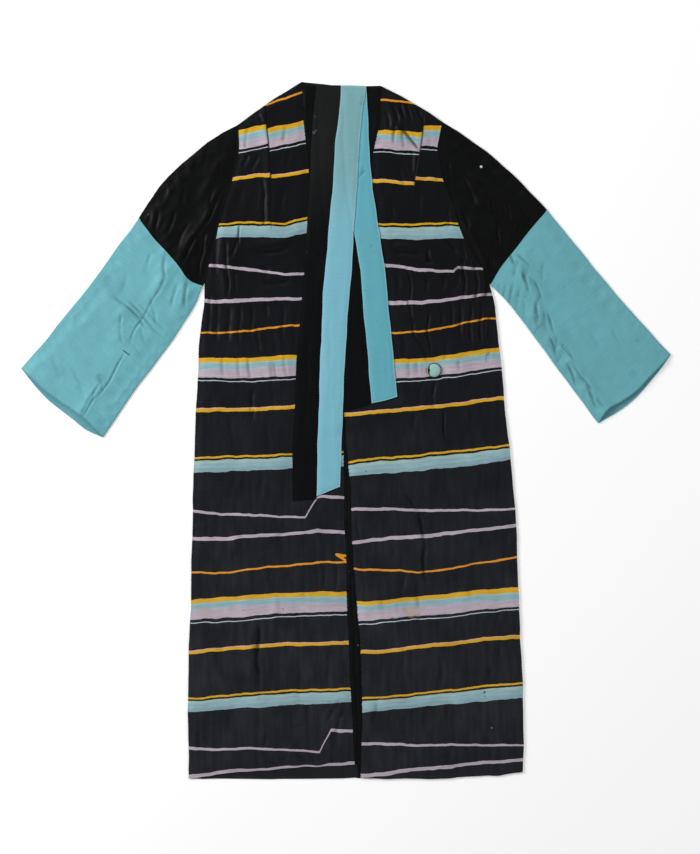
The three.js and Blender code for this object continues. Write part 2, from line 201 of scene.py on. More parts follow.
def paint_threads(form, across, down, turn=0.0):
    """Keeps where each point is along the cloth's threads, which may run at a turn."""
    layer = form.verts.layers.float_vector.new("thread")
    c, s = math.cos(turn), math.sin(turn)
    for vert, u, v in zip(form.verts, across * MM, down * MM):
        vert[layer] = (c * u + s * v, c * v - s * u, 0)


SWAY = 0.55  # millimetres that seams wander from true
HEM_FROM, HEM_WAVE = -540.0, 1.5  # the hem draws up in small scallops


def raise_points(form, heights):
    """Lifts the cloth, and lets every line wander a little, alike in all the pieces."""
    x, y, z = points_of(form).T
    aside = SWAY * (np.sin(y / 21.0 + x / 90.0) + np.sin(y / 8.3 - x / 40.0) * 0.5)
    along = SWAY * (np.sin(x / 19.0 + y / 70.0) + np.sin(x / 7.1 + y / 45.0) * 0.6)
    hem = np.clip((HEM_FROM - y) / 60, 0, 1)
    along += hem * HEM_WAVE * (1 + np.sin(x / 17.0 + 1.0) * 0.7 + np.sin(x / 6.3) * 0.3)
    for vert, height, dx, dy in zip(form.verts, heights, aside, along):
        vert.co += Vector((dx, dy, height)) * MM


# The cloth repeats every 420 mm down its length: a wide band of gold, light blue, lilac and
# a white pick, a gold line, a thin gold line over light blue, two lilac lines, an orange line.
REPEAT = 420.0
CLOTH_BLACK = "#0e0f13"
GOLD = "#d8a61c"
ORANGE = "#df9426"
PINK = "#d9a58a"
LIGHT_BLUE = "#8fb0b9"
LILAC = "#b4a8b4"
WHITE_PICK = "#b9c3cc"
stripes = (  # where each colour starts, in millimetres
    (0.0, "#dba52a"), (1.6, GOLD), (5.8, "#bfa852"), (7.2, "#9abfb8"), (9.5, LIGHT_BLUE),
    (16.5, "#9db2bd"), (19.0, LILAC), (25.0, "#b9abb7"), (34.2, CLOTH_BLACK),
    (37.9, WHITE_PICK), (40.3, CLOTH_BLACK), (86.2, PINK), (88.0, GOLD), (92.0, CLOTH_BLACK),
    (170.6, GOLD), (173.6, CLOTH_BLACK), (176.4, "#9ab8b4"), (181.0, LIGHT_BLUE),
    (189.0, "#86a6ae"), (196.0, CLOTH_BLACK),
    (259.4, LILAC), (264.6, CLOTH_BLACK), (308.8, LILAC), (315.6, CLOTH_BLACK),
    (371.0, ORANGE), (375.2, CLOTH_BLACK),
)

# Heights of the stripes on each front, in photo pixels, where they cross six upright lines
# from the outer edge to the front edge. The first column is the place in the cloth.
left_lines = (190, 222, 254, 286, 318, 350)
left_stripes = (
    (-47, 133, 120, 109, 97.7, 86, 75),
    (0, 147, 139, 131.3, 125.3, 116.5, 108),
    (18, 153, 148, 143, 135.8, 127, 118),
    (39, 164, 159, 154, 147.7, 139.5, 131),
    (89, 189, 181.5, 176.2, 174.9, 168.7, 162.5),
    (172, 231, 224.2, 222.3, 223.6, 215.3, 208),
    (196, 246, 237, 237.2, 236.9, 230.7, 224),
    (262, 262, 265.2, 269.8, 273.4, 273.4, 272),
    (312, 300.5, 300.8, 299.5, 298.4, 297.5, 296.5),
    (373, 332.5, 332, 329.7, 325.3, 322, 319),
    (420, 358, 358, 357.7, 355.5, 353, 350),
    (438, 369.7, 368.8, 367.4, 366, 364.5, 363),
    (459, 379.5, 380.6, 380.6, 379.4, 376.5, 374),
    (509, 409.5, 409.3, 408.3, 406.6, 404.5, 402.5),
    (592, 457.7, 457, 456, 454.2, 452.5, 451),
    (616, 471.8, 471.3, 469.4, 468, 466.8, 465.5),
    (682, 510, 513.2, 515, 516.3, 517.7, 519),
    (732, 538, 537.4, 535.2, 532.7, 530.5, 532),
    (793, 572.3, 572.5, 568.3, 564.7, 561.5, 561),
    (840, 600, 596.8, 594.7, 592.9, 590.9, 592.3),
    (858, 609.2, 606.5, 604, 602.6, 601.9, 602.2),
    (879, 622.4, 621.2, 618.6, 616, 614.1, 614.3),
    (929, 651.3, 648.5, 645.2, 643.4, 642.8, 641.8),
    (1012, 698, 696, 692.1, 690.5, 689.4, 688),
    (1036, 711.2, 708.9, 706.4, 704.2, 703, 701.3),
    (1102, 747.5, 748.9, 747.7, 749.2, 752, 754),
    (1152, 776.2, 771.7, 770, 767, 765.9, 763.5),
)
right_lines = (350, 384, 418, 452, 486, 520)
right_stripes = (
    (-47, 98.5, 99.3, 104, 112, 121, 130),
    (0, 136, 129.8, 133, 130.5, 126, 121),
    (18, 141, 139, 142.8, 143.5, 138, 133),
    (39, 152.5, 151.3, 154.6, 157.5, 152, 147),
    (89, 180.5, 180.4, 183.8, 186.5, 186, 186),
    (172, 222, 224.3, 224, 223.4, 223.5, 223.5),
    (196, 237, 238.8, 239.4, 238, 238, 238),
    (262, 262, 264.2, 268.5, 271.2, 272.8, 272),
    (312, 303.5, 303.1, 302.5, 299, 293.8, 293),
    (373, 333, 332.9, 331.6, 325.5, 318.3, 316),
    (420, 359.5, 359.3, 359.2, 354.2, 349.3, 344.5),
    (438, 370, 369.7, 368, 363.8, 359.8, 355.5),
    (459, 381.5, 381.2, 380.7, 376.5, 371.7, 366.8),
    (509, 414.3, 410, 407.8, 403.8, 399.3, 396),
    (592, 462, 457.6, 455.2, 451.4, 447.7, 444),
    (616, 475.6, 473, 470.3, 467.2, 462.5, 458.3),
    (682, 508, 508, 509.3, 510, 509.4, 508.8),
    (732, 542, 538.5, 535.4, 532.2, 527.6, 524),
    (793, 567.5, 569.3, 571.4, 567.8, 561, 555.8),
    (840, 601.8, 600.2, 596.3, 592.9, 589.2, 586),
    (858, 610.4, 608.5, 605.5, 603, 600.8, 598.7),
    (879, 624.8, 621.4, 618.8, 615.9, 611.5, 607.9),
    (929, 651.7, 650.4, 646, 642.2, 638.3, 635.5),
    (1012, 699.5, 696.5, 693.1, 689.8, 685.2, 683.1),
    (1036, 714, 709.6, 706.2, 703.3, 700.2, 697.2),
    (1102, 742, 742.7, 744.5, 744.2, 744.6, 745.2),
    (1152, 776.5, 773.7, 768.6, 765.9, 761.3, 759.2),
)


def cloth_place(x, y, lines, rows, steps=()):
    """How far down the cloth each point lies, between the stripes above and below it.

    A step lifts one stripe by some pixels where it passes a place.
    """
    at = [from_photo(px, 0)[0] for px in lines]
    heights = []
    for row in rows:
        height = np.interp(x, at, [from_photo(0, py)[1] for py in row[1:]])
        for stripe, start, width, rise in steps:
            if stripe == row[0]:
                start_x = from_photo(start, 0)[0]
                share = np.clip((x - start_x) / (width * PIXEL), 0, 1)
                height = height + rise * PIXEL * share
        heights.append(height)
    place = rows[0][0] + (heights[0] - y)
    for k in range(len(rows) - 1):
        upper, lower = heights[k], heights[k + 1]
        share = (upper - y) / np.maximum(upper - lower, 1.0)
        between = rows[k][0] + share * (rows[k + 1][0] - rows[k][0])
        place = np.where(y <= upper, between, place)
    last = rows[-1][0] + (heights[-1] - y)
    return np.where(y <= heights[-1], last, place)


def marked(tree, place, colour, marks):
    """Stains and spots on a colour: photo place, radius in millimetres, colour, strength."""
    for px, py, radius, stain, strength in marks:
        mx, my = from_photo(px, py)
        middle = (mx * MM, my * MM, 0)
        flat = add(tree, "ShaderNodeVectorMath", {0: place, 1: (1.0, 1.0, 0.0)},
                   operation="MULTIPLY")
        away = add(tree, "ShaderNodeVectorMath", {0: flat.outputs[0], 1: middle},
                   operation="DISTANCE")
        cover = add(tree, "ShaderNodeMapRange", {0: away.outputs["Value"], 1: radius * MM,
                                                 2: radius * 0.6 * MM, 3: 0.0, 4: strength})
        mixed = add(tree, "ShaderNodeMix", {0: cover.outputs[0], 6: colour, 7: linear(stain)},
                    data_type="RGBA")
        colour = mixed.outputs[2]
    return colour


THREAD = 2.0  # drawn thread spacing, coarser than real silk
SLUB_LONG, SLUB_WIDE = 34.0, 2.4  # a thick place in a weft thread, in millimetres
STREAK_LONG, STREAK_WIDE = 60.0, 9.0  # streaks of uneven dye that follow the warp
RUMPLE_WIDE = 18.18  # fine rumples, drawn wider than they are
PATCH_WIDE = 76.92  # patches where the dye has faded unevenly
HAZE_NECK, HAZE_HEM = 0.30, -0.35  # heights on the robe, in metres, where it starts and ends
HAZE_TINT = (0.92, 0.98, 1.16)  # the haze that pales the black is a little blue


def silk(name, roughness, specular, colour, marks=(), haze=(0.0, 0.0), slubs=0.25,
         rumpled=0.35, mottle=0.10, crease_shade=0.5):
    """A silk with weave, slubs and fine rumples as bump, and uneven, marked colour with
    painted shade in its creases.

    The colour is a hex value, or a function that draws it. The haze is how much paler the
    colour is at the neck and at the hem, and crease_shade is how dark the painted shade in the
    deepest creases is.
    """
    material = bpy.data.materials.new(name)
    material.use_nodes = True
    tree = material.node_tree
    skin = tree.nodes["Principled BSDF"]
    skin.inputs["Roughness"].default_value = roughness
    skin.inputs["Specular IOR Level"].default_value = specular
    place = add(tree, "ShaderNodeTexCoord").outputs["Object"]
    thread = add(tree, "ShaderNodeAttribute", attribute_name="thread").outputs["Vector"]
    if callable(colour):
        dyed = colour(tree, place)
    else:
        dye = add(tree, "ShaderNodeRGB")
        dye.outputs[0].default_value = linear(colour)
        dyed = dye.outputs[0]
    wave = math.pi / 10 / (THREAD * MM)
    weft = add(tree, "ShaderNodeTexWave", {0: thread, "Scale": wave, "Distortion": 0.6},
               bands_direction="Y")
    warp = add(tree, "ShaderNodeTexWave", {0: thread, "Scale": wave, "Distortion": 0.6},
               bands_direction="X")
    grid = add(tree, "ShaderNodeMath", {0: weft.outputs["Fac"], 1: warp.outputs["Fac"]},
               operation="MULTIPLY")
    along = add(tree, "ShaderNodeMapping",
                {0: thread, "Scale": (1 / SLUB_LONG / MM, 1 / SLUB_WIDE / MM, 1)})
    slub = add(tree, "ShaderNodeTexNoise", {0: along.outputs[0], "Scale": 1.0, "Detail": 3.0})
    down = add(tree, "ShaderNodeMapping",
               {0: thread, "Scale": (1 / STREAK_WIDE / MM, 1 / STREAK_LONG / MM, 1)})
    streak = add(tree, "ShaderNodeTexNoise", {0: down.outputs[0], "Scale": 1.0, "Detail": 4.0})
    rumple = add(tree, "ShaderNodeTexNoise", {0: place, "Scale": 1 / RUMPLE_WIDE / MM,
                                              "Detail": 5.0, "Roughness": 0.6,
                                              "Distortion": 0.8})
    height = None
    for strength, depth, source in ((rumpled, 1.6, rumple), (slubs, 0.3, slub),
                                    (0.06, 0.3, grid)):
        bump = add(tree, "ShaderNodeBump", {"Strength": strength, "Distance": depth * MM,
                                            "Height": source.outputs[0]})
        if height:
            tree.links.new(height.outputs[0], bump.inputs["Normal"])
        height = bump
    tree.links.new(height.outputs[0], skin.inputs["Normal"])
    patches = add(tree, "ShaderNodeTexNoise", {0: place, "Scale": 1 / PATCH_WIDE / MM,
                                               "Detail": 5.0, "Roughness": 0.62})
    tone = add(tree, "ShaderNodeMath", {0: patches.outputs[0], 1: slub.outputs[0]},
               operation="ADD")
    level = add(tree, "ShaderNodeMapRange", {0: tone.outputs[0], 1: 0.6, 2: 1.4,
                                             3: 1 - mottle, 4: 1 + mottle})
    tinted = add(tree, "ShaderNodeVectorMath",
                 {0: marked(tree, place, dyed, marks), 3: level.outputs[0]},
                 operation="SCALE")
    pale = add(tree, "ShaderNodeMath", {0: patches.outputs[0], 1: streak.outputs[0]},
               operation="MULTIPLY")
    parts = add(tree, "ShaderNodeSeparateXYZ", {0: place})
    most = add(tree, "ShaderNodeMapRange", {0: parts.outputs["Y"], 1: HAZE_NECK, 2: HAZE_HEM,
                                            3: haze[0], 4: haze[1]})
    share = add(tree, "ShaderNodeMapRange", {0: pale.outputs[0], 1: 0.12, 2: 0.44, 3: 0.25,
                                             4: 0.85})
    haze_amount = add(tree, "ShaderNodeMath", {0: share.outputs[0], 1: most.outputs[0]},
               operation="MULTIPLY")
    bloom = add(tree, "ShaderNodeVectorMath", {0: HAZE_TINT, 3: haze_amount.outputs[0]},
                operation="SCALE")
    hazed = add(tree, "ShaderNodeVectorMath", {0: tinted.outputs[0], 1: bloom.outputs[0]},
                 operation="ADD")
    # Painted shade: the colour is darkened where the crease attribute says a point lies deep
    # in a crease.
    crease = add(tree, "ShaderNodeAttribute", attribute_name="crease")
    kept = add(tree, "ShaderNodeMapRange", {0: crease.outputs["Fac"], 3: 1.0, 4: 1 - crease_shade})
    shaded = add(tree, "ShaderNodeVectorMath", {0: hazed.outputs[0], 3: kept.outputs[0]},
                 operation="SCALE")
    tree.links.new(shaded.outputs[0], skin.inputs["Base Color"])
    return material


STROKE_WIDE = 4.2  # width of the slip of dye on the left front
WAVER_WIDE = 18.18  # the stripes' edges waver over this length


def striped_colour(tree, place):
    """Colour from the places in the cloth that the front keeps on both sides of its tuck."""
    inner = add(tree, "ShaderNodeAttribute", attribute_name="cloth_inner")
    outer = add(tree, "ShaderNodeAttribute", attribute_name="cloth_outer")
    tuck = add(tree, "ShaderNodeAttribute", attribute_name="tuck")
    side = add(tree, "ShaderNodeMath", {0: tuck.outputs["Fac"], 1: 0.0},
               operation="GREATER_THAN")
    chosen = add(tree, "ShaderNodeMix", {0: side.outputs[0], 2: outer.outputs["Fac"],
                                         3: inner.outputs["Fac"]})
    waver = add(tree, "ShaderNodeTexNoise", {0: place, "Scale": 1 / WAVER_WIDE / MM,
                                             "Detail": 3.0})
    shift = add(tree, "ShaderNodeMapRange", {0: waver.outputs[0], 1: 0.3, 2: 0.7, 3: -0.9,
                                             4: 0.9})
    moved = add(tree, "ShaderNodeMath", {0: chosen.outputs[0], 1: shift.outputs[0]},
                operation="ADD")
    within = add(tree, "ShaderNodeMath", {0: moved.outputs[0], 1: REPEAT},
                 operation="FLOORED_MODULO")
    share = add(tree, "ShaderNodeMath", {0: within.outputs[0], 1: REPEAT}, operation="DIVIDE")
    ramp = add(tree, "ShaderNodeValToRGB", {0: share.outputs[0]})
    ramp.color_ramp.interpolation = "CONSTANT"
    while len(ramp.color_ramp.elements) < len(stripes):
        ramp.color_ramp.elements.new(0.99)
    for element, (start, colour) in zip(ramp.color_ramp.elements, stripes):
        element.position = start / REPEAT
        element.color = linear(colour)
    # A slip of the dye, drawn as a stroke, and the dark line along the tuck: its stitches, and
    # painted shade in its fold.
    stroke = add(tree, "ShaderNodeAttribute", attribute_name="stroke")
    on_stroke = add(tree, "ShaderNodeMath", {0: stroke.outputs["Fac"], 1: STROKE_WIDE / 2},
                    operation="LESS_THAN")
    drawn = add(tree, "ShaderNodeMix", {0: on_stroke.outputs[0], 6: ramp.outputs[0],
                                        7: linear(ORANGE)}, data_type="RGBA")
    line = add(tree, "ShaderNodeAttribute", attribute_name="tuck_line")
    sewn = add(tree, "ShaderNodeMix", {0: line.outputs["Fac"], 6: drawn.outputs[2],
                                       7: linear("#08080a")}, data_type="RGBA")
    return sewn.outputs[2]


striped_marks = (
    (411, 612, 11, "#b9a48c", 0.55), (405, 610, 6, "#a58b6c", 0.4),
    (418, 613, 8, "#c4b49c", 0.4),
    (484.3, 692, 2.6, "#33383b", 0.9), (485, 696, 1.5, "#33383b", 0.8),
    (366, 471, 1.6, "#33383b", 0.8), (491.5, 727.5, 1.5, "#9a9a9c", 0.6),
    (426.4, 369, 2.6, "#a5673c", 0.9), (426.6, 371.5, 2.8, "#b07848", 0.9),
    (422.2, 369, 1.4, "#7d7f98", 0.6), (421.9, 371.5, 1.4, "#8a6f8a", 0.6),
    (422.4, 374, 1.4, "#7d7f98", 0.5),
    (284, 139, 9, "#bfa998", 0.35), (299, 134, 8, "#c0a79c", 0.35),
    (238, 607, 8, "#bfb0b0", 0.4), (205, 611, 9, "#c0b0aa", 0.35),
    (377, 141, 7, "#9a86b4", 0.4), (392, 374, 14, "#c4aaa4", 0.35),
    (262, 376, 2.0, "#8a7f8c", 0.5), (244, 610, 1.6, "#6d6470", 0.6),
    (283, 609, 2.4, "#7d7480", 0.6), (392, 617, 2.0, "#877a76", 0.5),
)
# Plain-woven silk, dyed black with stripes in the weft: a low sheen, edges of the stripes a
# little uneven, the black paler and bluer towards the hem, and painted shade in the deepest
# creases.
striped = silk("black_striped_silk", 0.5, 0.11, striped_colour, striped_marks,
               haze=(0.0, 0.026), rumpled=0.5, mottle=0.22, crease_shade=0.75)
# Plain black silk, thin and smooth: a touch more gloss, and rumpled where the hem shows it.
facing = silk("black_facing_silk", 0.42, 0.16, "#1a1b1d", haze=(0.006, 0.006), rumpled=0.8)

NO_STROKE = 99.0  # far from any slip of dye, in millimetres
LEFT_SIDE, RIGHT_SIDE = -273.0, 304.0  # the back's stripes meet the fronts' at the sides
BACK_WIDE = 581.0
back_form = cloth_form("back", 6, 0)
x, y, z = points_of(back_form).T
across = np.clip((x - LEFT_SIDE) / BACK_WIDE, 0, 1)
left_place = cloth_place(np.full_like(x, LEFT_SIDE), y, left_lines, left_stripes)
right_place = cloth_place(np.full_like(x, RIGHT_SIDE), y, right_lines, right_stripes)
back_place = left_place * (1 - across) + right_place * across + 3 * np.sin(x / 61)
paint(back_form, "cloth_inner", back_place)
paint(back_form, "cloth_outer", back_place)
paint(back_form, "tuck", np.ones_like(x))
paint(back_form, "stroke", np.full_like(x, NO_STROKE))
paint_threads(back_form, x, back_place)
for face in back_form.faces:
    face.material_index = 1 if face.normal.z > FACE_UP else 0
raise_points(back_form, np.zeros_like(x))
back = lay("back_panel", back_form, (striped, facing), "back")

# Fronts
# Two striped panels lying on the back, seamed to it at the shoulders and sides. Each has a
# stitched tuck from the shoulder, where the stripes no longer meet, and creases from wear.
LIFT = 1.5  # millimetres that loose cloth stands up
HELD = 13.0  # creases die out this far from a seam or edge
PRESSED = 16.0  # and this far from what lies on the cloth
DEEPEST = 2.2  # a crease this deep gets the full painted shade
FRONT_RUMPLES = (  # height, length, stretch across and down, and seed of each
    (0.16, 30, 1.0, 2.2, 5), (0.26, 85, 1.0, 2.5, 9),
)
TUCK_FLAP, FLAP_WIDE = 1.1, 16  # a tuck's folded edge stands up, then eases off
TUCK_DIP, DIP_WIDE = 0.5, 3.0  # its stitches draw the cloth down beside it
FAR, LOOK_WITHIN = 999.0, 40.0  # solids further off than this are not looked for

# Creases as read off the photo, in its pixels: from, to, height and reach in millimetres.
# A negative height is a groove between two soft lips.
front_creases = (
    # left front, from the shoulder down
    (247, 126, 245, 152, -1.2, 4.5), (255, 110, 262, 124, -1, 4),
    (285, 124, 284, 144, -1, 4.5), (260, 154, 251, 174, -1.3, 4),
    (249, 154, 243, 170, -1.3, 4), (262, 176, 265, 202, -0.9, 4),
    (239.5, 222, 239.5, 246, -2, 2.6),
    (290, 148, 288, 170, -0.7, 5), (282, 182, 280, 214, -0.8, 6),
    (264, 190, 263, 228, -2.8, 4.5), (242, 186, 236, 214, -0.8, 8),
    (226.5, 236, 227, 302, -2.8, 4.5), (240, 234, 229, 262, -2, 5.5),
    (216, 238, 216, 280, -1.6, 5.5), (234, 268, 233, 298, -1.4, 5),
    (244, 246, 300, 238, 1.4, 9), (248, 253, 296, 247, -1.4, 6),
    (268, 262, 264, 286, -1, 6), (258, 283, 292, 280, -1.6, 6.5),
    (240, 300, 240, 352, -1.4, 5), (252, 304, 252, 348, -1.2, 5),
    (266, 300, 266, 320, -1.3, 5), (283, 300, 283, 346, -1.3, 5),
    (295, 298, 294, 352, -1.1, 5), (217, 298, 218, 349, -1.6, 5),
    (229, 302, 230, 346, -1.4, 5), (209, 290, 210, 346, -1.3, 5),
    (259, 322, 258, 356, -1.2, 5), (275, 326, 275, 356, -1, 5),
    (248, 354, 249, 386, -1.2, 4), (238, 352, 238, 384, -0.9, 4),
    (271, 356, 270, 387, -1.2, 4), (284, 352, 285, 380, -0.8, 4),
    (222, 356, 222, 382, -0.9, 4), (274, 356, 274, 384, -1.2, 4),
    (274, 388, 274, 410, -1, 5), (212, 392, 213, 430, -0.8, 7),
    (231, 416, 232, 454, -0.8, 7), (268, 420, 268, 452, -0.7, 7),
    (262, 466, 262, 504, -0.9, 6), (234, 470, 233, 506, -0.8, 7),
    (285, 472, 285, 512, -0.8, 7), (240, 516, 238, 564, -0.9, 8),
    (212, 520, 212, 570, -0.7, 9), (278, 525, 279, 560, -0.8, 7),
    (324, 566, 325, 590, -1.4, 4), (336, 562, 338, 592, -1.6, 3.4),
    (306, 560, 304, 610, -0.7, 7), (270, 568, 270, 584, -1.2, 4.5),
    (258, 612, 258, 704, -2.2, 7), (252, 386, 253, 424, -2.2, 4.5),
    (252, 652, 250, 690, 1.2, 8), (278, 586, 277, 642, -0.8, 6),
    (300, 648, 296, 706, -0.8, 8), (222, 640, 222, 690, -0.7, 9),
    (346, 652, 341, 690, -1.2, 6), (340, 696, 325, 726, -1.7, 4),
    (344, 704, 333, 744, -1.6, 4.5), (336, 736, 330, 770, -1.3, 5),
    (331, 702, 320, 713, -1.2, 3.6), (268, 728, 264, 748, -1.4, 4.5),
    (280, 762, 290, 752, -1.5, 5), (296, 754, 306, 764, -1.3, 5),
    (258, 745, 255, 774, -1, 6), (198, 726, 200, 750, -1.2, 6),
    (290, 728, 306, 724, -1, 5), (232, 700, 231, 740, -0.6, 8),
    # right front, from the shoulder down
    (392, 100, 397, 126, -1.8, 4), (400, 100, 403, 124, -1.8, 4),
    (406, 102, 410, 132, -1.6, 4), (396, 124, 421, 154, -2.8, 3.6),
    (393, 122, 394, 146, -1.6, 3.6), (401, 130, 405, 152, -1.4, 3.6),
    (385, 108, 388, 130, -1.4, 4), (415, 108, 424, 128, -1.4, 4),
    (400, 166, 404, 194, -1, 5), (430, 136, 431, 164, -1, 5),
    (412, 150, 414, 178, -1.2, 4), (436, 168, 440, 210, -1, 7),
    (390, 198, 392, 224, -0.9, 5), (418, 190, 418, 222, -1.1, 6),
    (446, 205, 448, 232, -1.3, 5), (392, 244, 420, 252, 1.3, 8),
    (394, 252, 424, 256, -1.2, 6), (446, 240, 458, 254, -2, 5),
    (424, 250, 432, 266, -1.8, 6), (430, 246, 424, 268, -1.2, 5),
    (461, 236, 466, 262, -1.6, 4.5), (470, 236, 480, 264, -1.6, 4.5),
    (463, 254, 462, 302, -2.6, 5), (474, 256, 475, 304, -2.6, 5),
    (484, 266, 485, 304, -2.4, 5), (458, 260, 456, 290, -1.4, 4.5),
    (470, 296, 471, 350, -2, 5.5), (480, 298, 481, 350, -2, 5.5),
    (490, 302, 489, 350, -1.6, 5), (459, 296, 462, 344, -1.7, 5.5),
    (450, 300, 453, 330, -1.2, 6), (406, 262, 412, 330, -2.8, 3.6),
    (412, 320, 417, 346, -2.4, 4), (415, 336, 427, 364, -2.2, 4),
    (428, 304, 429, 363, -2.6, 3.6), (438, 302, 444, 330, -1.5, 6),
    (424, 276, 424, 300, -1.3, 6), (442, 272, 440, 292, -1.3, 6),
    (396, 270, 398, 314, -0.9, 5), (402, 330, 404, 356, -1, 6),
    (445, 340, 443, 364, -1, 6), (408, 362, 408, 382, -1.2, 4),
    (416, 362, 416, 380, -0.9, 4), (458, 358, 458, 372, -1.2, 4),
    (488, 352, 487, 364, -1.6, 4), (433, 378, 434, 412, -2.2, 4.5),
    (420, 384, 420, 410, -0.9, 5), (444, 408, 443, 448, -2.4, 4.5),
    (414, 406, 414, 436, -1, 5), (470, 392, 471, 440, -0.8, 8),
    (437, 466, 438, 504, -0.9, 6), (398, 478, 398, 506, -0.7, 6),
    (466, 470, 467, 508, -0.8, 8), (404, 492, 418, 515, -1.7, 4.5),
    (417, 510, 424, 548, -2.8, 5), (423, 540, 424, 584, -2.8, 5),
    (406, 570, 402, 594, -1.4, 5),
    (356, 512, 358, 540, -1.5, 3.4), (418, 584, 417, 612, -1.2, 4),
    (418, 612, 418, 646, -1.2, 6), (404, 640, 402, 684, -0.9, 8),
    (440, 648, 441, 694, -1.3, 5.5), (470, 556, 470, 604, -0.8, 8),
    (497, 612, 492, 640, -1.2, 5), (500, 640, 498, 676, -1.2, 7),
    (492, 664, 486, 684, -1.2, 6), (375, 700, 374, 724, -1.4, 5),
    (446, 706, 447, 732, -1.6, 4.5), (404, 712, 404, 740, -0.9, 6),
    (380, 556, 381, 622, -0.7, 8), (476, 728, 477, 770, -0.6, 8),
    (368, 735, 366, 765, -1, 6), (395, 600, 398, 616, -0.9, 4),
)


def ease(value):
    """Goes softly from 0 to 1 while the value does."""
    share = np.clip(value, 0, 1)
    return share * share * (3 - 2 * share)


def crease_height(x, y, rows):
    """Height that soft creases add, and how deep in one each point is, which sets the painted
    shade there.
    """
    bend_x = x + 1.8 * np.sin(y / 23.0) + 1.1 * np.sin(y / 9.0 + 1.3)
    bend_y = y + 1.8 * np.sin(x / 27.0) + 1.1 * np.sin(x / 11.0 + 0.6)
    uneven = np.clip(1.0 + 0.35 * rumples(x, y, 42, 1.0, 1.0, 3), 0.4, 1.5)
    total, depth = np.zeros_like(x), np.zeros_like(x)
    for x1, y1, x2, y2, height, reach in rows:
        ax, ay = from_photo(x1, y1)
        bx, by = from_photo(x2, y2)
        dx, dy = bx - ax, by - ay
        length = math.hypot(dx, dy)
        t = ((bend_x - ax) * dx + (bend_y - ay) * dy) / length ** 2
        aside = ((bend_x - ax) * dy - (bend_y - ay) * dx) / length / reach
        ends = ease(t / 0.3) * ease((1 - t) / 0.3)
        total += height * ends * (1 - 0.8 * aside ** 2) * np.exp(-aside ** 2 * 0.8)
        depth += (max(-height, 0) / DEEPEST) ** 1.5 * ends * np.exp(-aside ** 2 * 3.0)
    return total * uneven, np.clip(depth * uneven, 0, 1)


def rumples(x, y, wave, stretch_x, stretch_y, seed):
    """An uneven field between about -1 and 1, longer along the stretched direction."""
    draw = np.random.default_rng(seed)
    total = np.zeros_like(x)
    count = 16
    for _ in range(count):
        angle, phase = draw.uniform(0, 2 * math.pi, 2)
        length = wave * draw.uniform(0.7, 1.5)
        run = x * math.cos(angle) / stretch_x + y * math.sin(angle) / stretch_y
        total += np.sin(run * 2 * math.pi / length + phase)
    return total / math.sqrt(count)


def away_from(points, held):
    """Distance of each point from the nearest held point, in millimetres."""
    tree = KDTree(len(held))
    for k, point in enumerate(held):
        tree.insert(Vector(point), k)
    tree.balance()
    return np.array([tree.find(Vector(point))[2] for point in points])


def away_from_nodes(points, *nodes):
    """Distance of each point from the nearest of some solids, in millimetres."""
    nearest = np.full(len(points), FAR)
    for node in nodes:
        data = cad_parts[node].data
        data.calc_loop_triangles()
        corners = [v.co / MM for v in data.vertices]
        solid = BVHTree.FromPolygons(corners, [t.vertices for t in data.loop_triangles])
        for k, point in enumerate(points):
            hit = solid.find_nearest(Vector(point), LOOK_WITHIN)
            if hit[3] is not None:
                nearest[k] = min(nearest[k], hit[3])
    return nearest


def outline_of(form):
    """Points on the upright edges of a panel, in millimetres."""
    form.normal_update()
    return [v.co / MM for v in form.verts
            if any(abs(f.normal.z) < FACE_UP for f in v.link_faces)]


slip_of_dye = ((345.8, 560.8), (336.1, 554.4), (347.5, 556.2))


def from_strokes(x, y):
    """Distance of each point from the slip of dye on the left front, in millimetres."""
    nearest = np.full_like(x, NO_STROKE)
    for start, end in zip(slip_of_dye, slip_of_dye[1:]):
        (ax, ay), (bx, by) = from_photo(*start), from_photo(*end)
        dx, dy = bx - ax, by - ay
        t = np.clip(((x - ax) * dx + (y - ay) * dy) / (dx * dx + dy * dy), 0, 1)
        nearest = np.minimum(nearest, np.hypot(x - ax - t * dx, y - ay - t * dy))
    return nearest


def front_panel(side, tuck_line, tuck_shift, lines, rows, steps):
    """One front: side is -1 for the left and 1 for the right."""
    name = "left" if side < 0 else "right"
    form = cloth_form(f"front_{name}", 12, 24)
    points = points_of(form)
    x, y, z = points.T
    rim = away_from(points, outline_of(form))
    pressed = away_from_nodes(points, "scarf_black", "scarf_turquoise", "button")
    tuck_y = [from_photo(0, py)[1] for px, py in tuck_line]
    tuck_x = [from_photo(px, 0)[0] for px, py in tuck_line]
    past = (x - np.interp(y, tuck_y[::-1], tuck_x[::-1])) * -side
    low, high = tuck_y[-1], tuck_y[0]
    on_tuck = ease((y - low) / 50) * (y < high + 40)
    flap = TUCK_FLAP * on_tuck * np.where(past < 0, np.exp(past / FLAP_WIDE), 0)
    flap -= TUCK_DIP * on_tuck * np.exp(-(past / DIP_WIDE) ** 2)
    loose = LIFT + sum(high * rumples(x, y, *how) for high, *how in FRONT_RUMPLES)
    creased, depth = crease_height(x, y, front_creases)
    height = loose + creased + flap
    height *= ease(rim / HELD) * ease((pressed - 1) / PRESSED)
    raise_points(form, np.maximum(height, -0.2))
    shift_y = [from_photo(0, py)[1] for py, rise in tuck_shift]
    shift = np.interp(y, shift_y[::-1], [rise * PIXEL for py, rise in tuck_shift][::-1])
    inner = cloth_place(x, y, lines, rows, steps)
    paint(form, "cloth_inner", inner)
    paint(form, "cloth_outer", cloth_place(x, y - shift, lines, rows, steps))
    paint(form, "tuck", past)
    # The dark line along the tuck: its stitches, and painted shade in its fold.
    paint(form, "tuck_line", np.exp(-(past / 1.6) ** 2) * ease((y - low) / 40) * 0.9)
    # Painted shade in the creases: it darkens the silk's colour where they are deepest.
    paint(form, "crease", depth)
    paint(form, "stroke", from_strokes(x, y) if side < 0 else np.full_like(x, NO_STROKE))
    paint_threads(form, x, inner)
    return lay(f"front_panel_{name}", form, (striped,), f"front_{name}")


